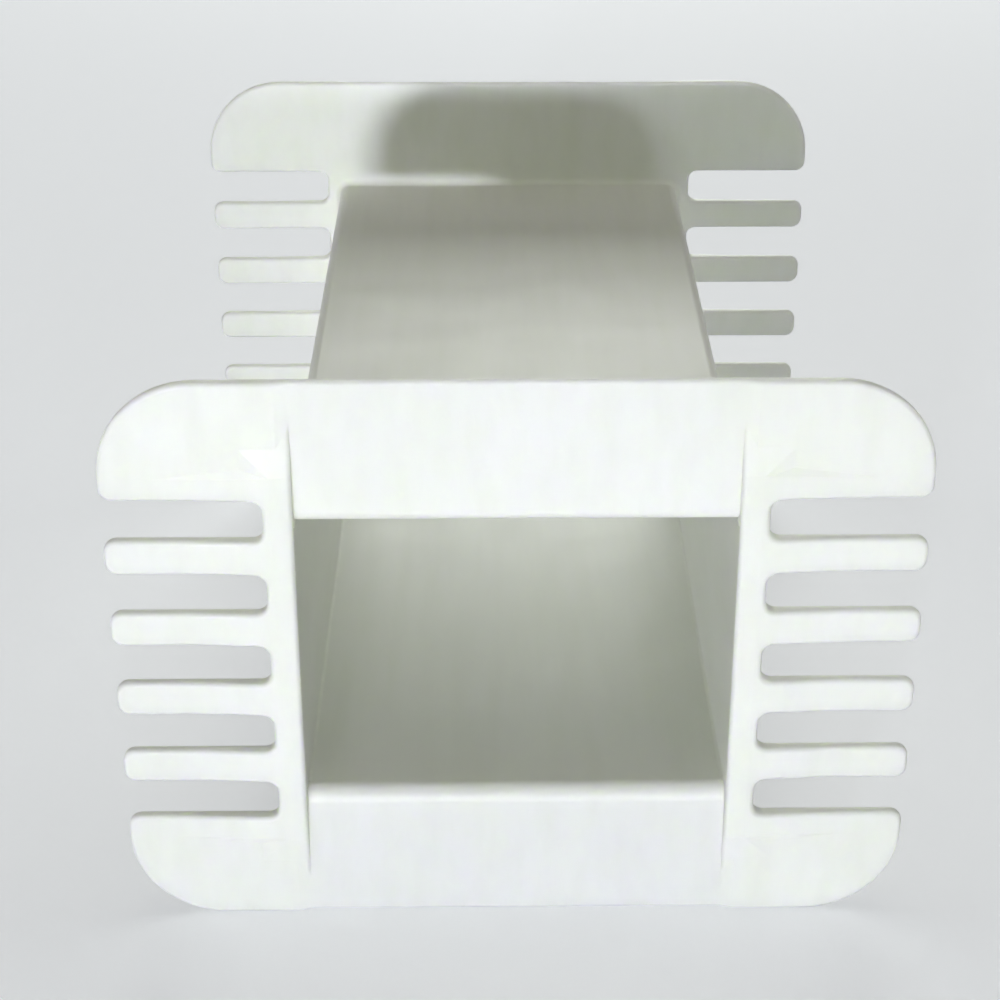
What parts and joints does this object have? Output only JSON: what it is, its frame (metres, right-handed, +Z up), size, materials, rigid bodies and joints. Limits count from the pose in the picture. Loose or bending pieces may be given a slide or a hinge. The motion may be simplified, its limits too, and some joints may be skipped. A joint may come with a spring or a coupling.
{
  "type": "transformer coil bobbin",
  "caption": "Rectangular tube with a comb-edged flange at each end, which carries a coil on the centre leg of an E core.",
  "frame": {"origin": "middle of the bore, halfway between the flanges", "axes": "+Y along the tube, +Z up through the plain edges of the flanges, +X across to the comb on the right"},
  "size_m": [0.098, 0.1146, 0.076],
  "materials": {
    "body": "natural white moulded nylon, slightly translucent, with a satin skin"
  },
  "bodies": {
    "root": {"bobbin": "body"}
  },
  "joints": []
}
